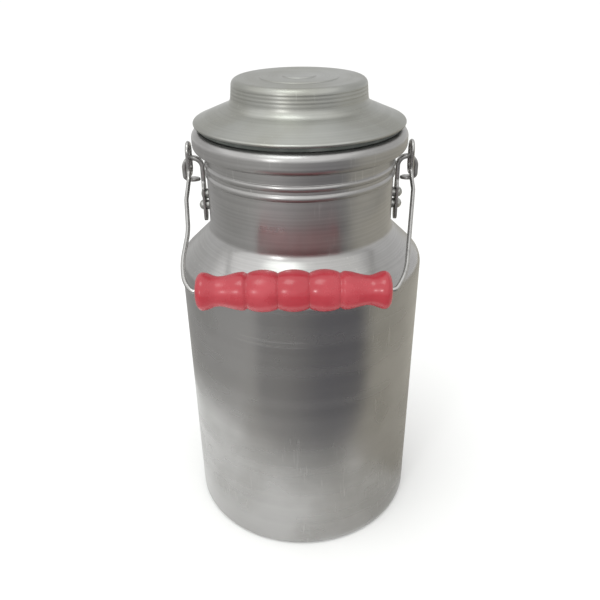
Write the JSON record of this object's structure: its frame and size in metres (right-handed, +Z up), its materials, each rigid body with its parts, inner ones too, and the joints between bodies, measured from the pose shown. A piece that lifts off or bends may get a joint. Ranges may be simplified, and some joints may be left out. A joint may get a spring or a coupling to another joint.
{
  "type": "milk can",
  "caption": "Straight-sided metal milk can with a rolled mouth, a domed lift-off lid and a swinging wire bail with a turned grip.",
  "frame": {"origin": "centre of the base, on the surface the can stands on", "axes": "+Z up along the can's axis, -Y towards the front where the bail rests, +X to the right ear"},
  "size_m": [0.15, 0.1653, 0.2891],
  "materials": {
    "spun_aluminium": "satin, spun",
    "seal_rubber": "matt",
    "ear_steel": "zinc plated, dull",
    "bail_steel": "drawn wire, zinc plated",
    "rivet_aluminium": "dull",
    "grip_lacquer": "glossy, turned"
  },
  "bodies": {
    "can": {"can_body": "spun_aluminium", "ear_left": "ear_steel", "ear_right": "ear_steel", "rivet_left_upper": "rivet_aluminium", "rivet_left_lower": "rivet_aluminium", "rivet_right_upper": "rivet_aluminium", "rivet_right_lower": "rivet_aluminium", "spacer_left_upper": "rivet_aluminium", "spacer_left_lower": "rivet_aluminium", "spacer_right_upper": "rivet_aluminium", "spacer_right_lower": "rivet_aluminium", "burr_left_upper": "rivet_aluminium", "burr_left_lower": "rivet_aluminium", "burr_right_upper": "rivet_aluminium", "burr_right_lower": "rivet_aluminium"},
    "lid": {"lid_shell": "spun_aluminium", "lid_collar": "spun_aluminium", "lid_gasket": "seal_rubber"},
    "bail": {"bail_wire": "bail_steel"},
    "grip": {"grip": "grip_lacquer"}
  },
  "joints": [
    {"name": "lid_lift", "type": "slide", "parent": "can", "child": "lid", "axis": [0, 0, 1], "range_m": [0, 0.03]},
    {"name": "bail_swing", "type": "hinge", "parent": "can", "child": "bail", "pos_m": [0, 0, 0.24223], "axis": [-1, 0, 0], "range_deg": [0, 241.84]},
    {"name": "grip_turn", "type": "hinge", "parent": "bail", "child": "grip", "pos_m": [-0.0039, -0.07919, 0.19481], "axis": [1, 0, 0], "continuous": true}
  ]
}
